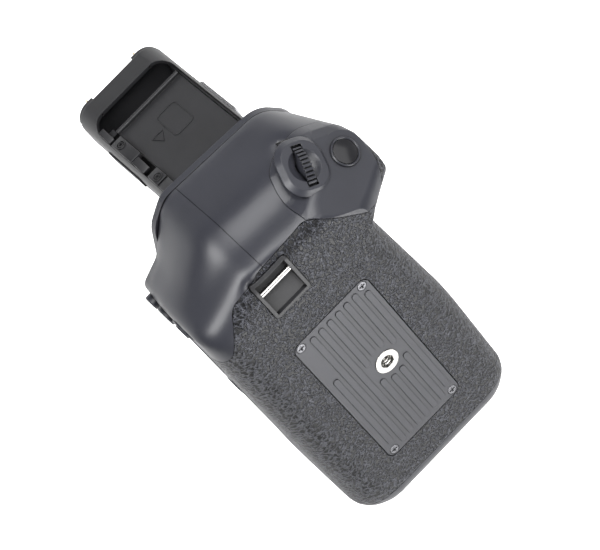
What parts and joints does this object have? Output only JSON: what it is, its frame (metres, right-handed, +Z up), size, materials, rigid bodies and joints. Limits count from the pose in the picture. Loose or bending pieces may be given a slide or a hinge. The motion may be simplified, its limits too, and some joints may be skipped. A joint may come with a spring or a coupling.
{
  "type": "camera battery grip",
  "caption": "Vertical battery grip that screws under a camera, with a ribbed tripod plate, battery tower, control dial, shutter button and a slide-in battery magazine.",
  "frame": {"origin": "mouth of the tripod thread, in the plane of the tripod plate's ribs", "axes": "+X toward the end with the shutter button and the tower, +Y toward the camera's front, +Z up toward the camera"},
  "size_m": [0.1469, 0.0861, 0.1194],
  "materials": {
    "smooth_plastic": "satin moulded",
    "grained_plastic": "pebble grain",
    "inner_plastic": "plain moulded",
    "rubber_pad": "matt",
    "gloss_button": "polished",
    "bright_steel": "polished",
    "turned_steel": "turned",
    "black_steel": "black",
    "contact_metal": "plated",
    "board": "lacquered"
  },
  "bodies": {
    "grip": {"bottom_shell": "grained_plastic", "chassis": "inner_plastic", "circuit_board": "board", "control_panel": "smooth_plastic", "dial_axle": "turned_steel", "front_end_cover": "smooth_plastic", "guide_pins": "turned_steel", "magazine_terminal": "inner_plastic", "rear_button_ring": "smooth_plastic", "rear_end_cover": "smooth_plastic", "rear_switch_board": "board", "rear_switches": "inner_plastic", "shutter_ring": "smooth_plastic", "shutter_switch": "inner_plastic", "strap_bar": "bright_steel", "strap_lug_frame": "inner_plastic", "top_pad": "rubber_pad", "top_plate": "smooth_plastic", "top_plate_screws": "black_steel", "tower_bracket": "inner_plastic", "tower_bracket_screws": "black_steel", "tower_contact_blades": "contact_metal", "tower_contact_blocks": "inner_plastic", "tower_latch": "turned_steel", "tower_panel": "inner_plastic", "tower_shell": "inner_plastic", "tripod_bush": "bright_steel", "tripod_plate": "smooth_plastic", "tripod_plate_screws": "black_steel"},
    "control_dial": {"control_dial": "smooth_plastic"},
    "shutter_button": {"shutter_button": "gloss_button"},
    "rear_button_upper": {"rear_button_upper": "smooth_plastic"},
    "rear_button_middle": {"rear_button_middle": "smooth_plastic"},
    "rear_button_lower": {"rear_button_lower": "smooth_plastic"},
    "mounting_screw": {"mounting_screw": "turned_steel", "mounting_wheel": "smooth_plastic"},
    "magazine": {"magazine_tray": "inner_plastic", "magazine_door": "smooth_plastic", "magazine_strips": "contact_metal", "battery_contacts": "contact_metal"},
    "magazine_lock": {"magazine_lock_knob": "smooth_plastic", "magazine_lock_cam": "turned_steel"}
  },
  "joints": [
    {"name": "dial_turn", "type": "hinge", "parent": "grip", "child": "control_dial", "pos_m": [0.07158, 0.01995, 0.02082], "axis": [-0.5414, 0.8408, -0.0074], "continuous": true},
    {"name": "shutter_button_press", "type": "slide", "parent": "grip", "child": "shutter_button", "axis": [-0.6408, -0.4069, 0.651], "range_m": [0, 0.0007], "stiffness_N_per_m": 800, "springref_m": -0.00035},
    {"name": "rear_button_upper_press", "type": "slide", "parent": "grip", "child": "rear_button_upper", "axis": [0, 1, 0], "range_m": [0, 0.0004], "stiffness_N_per_m": 1000, "springref_m": -0.0002},
    {"name": "rear_button_middle_press", "type": "slide", "parent": "grip", "child": "rear_button_middle", "axis": [0, 1, 0], "range_m": [0, 0.0004], "stiffness_N_per_m": 1000, "springref_m": -0.0002},
    {"name": "rear_button_lower_press", "type": "slide", "parent": "grip", "child": "rear_button_lower", "axis": [0, 1, 0], "range_m": [0, 0.0004], "stiffness_N_per_m": 1000, "springref_m": -0.0002},
    {"name": "mounting_screw_turn", "type": "hinge", "parent": "grip", "child": "mounting_screw", "pos_m": [0, -0.014, 0.043], "axis": [0, 0, 1], "continuous": true},
    {"name": "magazine_slide", "type": "slide", "parent": "grip", "child": "magazine", "axis": [-1, 0, 0], "range_m": [0, 0.1]},
    {"name": "magazine_lock_turn", "type": "hinge", "parent": "magazine", "child": "magazine_lock", "pos_m": [-0.0588, -0.004, 0.023], "axis": [1, 0, 0], "range_deg": [0, 90]}
  ]
}
